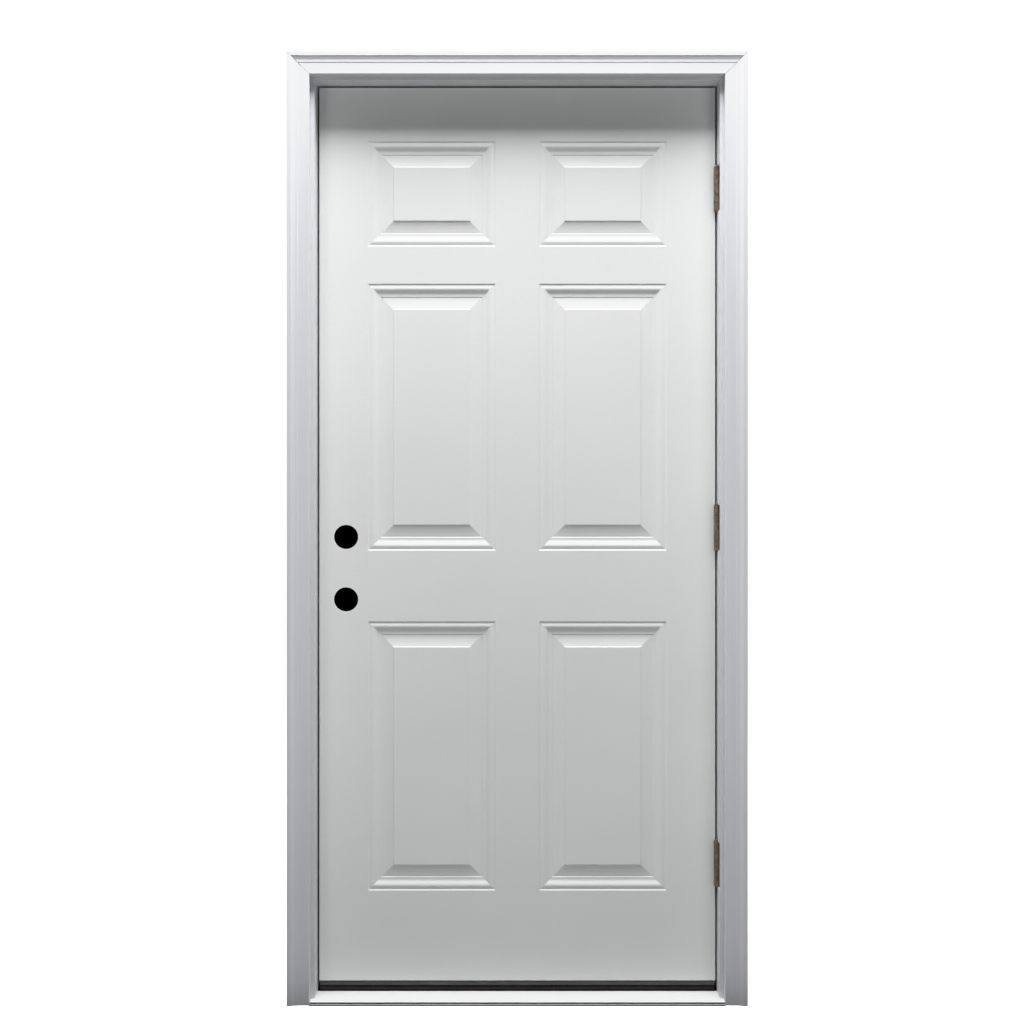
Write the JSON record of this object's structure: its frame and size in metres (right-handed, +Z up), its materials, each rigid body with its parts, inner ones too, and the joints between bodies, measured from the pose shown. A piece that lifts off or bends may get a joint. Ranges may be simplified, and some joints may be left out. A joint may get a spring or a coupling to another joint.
{
  "type": "front door with frame",
  "caption": "Panelled exterior door with pressed steel skins, hung in a rebated white frame with brickmould, sill and dark butt hinges, bored for a latch and a deadbolt.",
  "frame": {"origin": "middle of the unit's underside, at the centre of its bounding box in plan", "axes": "+X along the wall towards the hinges, +Y from outside into the building, +Z up"},
  "size_m": [1.0108, 0.141, 2.0922],
  "materials": {
    "jamb_paint": "satin",
    "brickmould_paint": "satin",
    "skin_paint": "satin",
    "bare_wood": "matte",
    "foam": "matte",
    "deck_metal": "satin",
    "substrate": "matte",
    "riser": "matte",
    "cap_bronze": "satin",
    "bronze_screw": "satin",
    "hinge_bronze": "satin",
    "pin_bronze": "satin",
    "zinc_screw": "satin",
    "painted_nail": "satin",
    "seal": "matte",
    "pad": "matte",
    "sweep": "matte"
  },
  "bodies": {
    "frame": {"left_jamb": "jamb_paint", "right_jamb": "jamb_paint", "head_jamb": "jamb_paint", "left_brickmould": "brickmould_paint", "right_brickmould": "brickmould_paint", "head_brickmould": "brickmould_paint", "sill_deck": "deck_metal", "sill_substrate": "substrate", "threshold_riser": "riser", "threshold_cap": "cap_bronze", "threshold_cap_screws": "bronze_screw", "left_weatherstrip": "seal", "right_weatherstrip": "seal", "head_weatherstrip": "seal", "left_corner_pad": "pad", "right_corner_pad": "pad", "top_jamb_leaf": "hinge_bronze", "middle_jamb_leaf": "hinge_bronze", "bottom_jamb_leaf": "hinge_bronze", "top_hinge_pin": "pin_bronze", "middle_hinge_pin": "pin_bronze", "bottom_hinge_pin": "pin_bronze", "jamb_leaf_screws": "bronze_screw", "sill_screws": "zinc_screw", "head_screws": "zinc_screw", "brickmould_nails": "painted_nail"},
    "door": {"outer_skin": "skin_paint", "inner_skin": "skin_paint", "lock_stile": "bare_wood", "hinge_stile": "bare_wood", "top_rail": "bare_wood", "bottom_rail": "bare_wood", "lock_block": "bare_wood", "foam_core": "foam", "top_door_leaf": "hinge_bronze", "middle_door_leaf": "hinge_bronze", "bottom_door_leaf": "hinge_bronze", "door_leaf_screws": "bronze_screw", "door_sweep": "sweep"}
  },
  "joints": [
    {"name": "door_swing", "type": "hinge", "parent": "frame", "child": "door", "pos_m": [0.4454, -0.0073, 0], "axis": [0, 0, 1], "range_deg": [0, 100]}
  ]
}
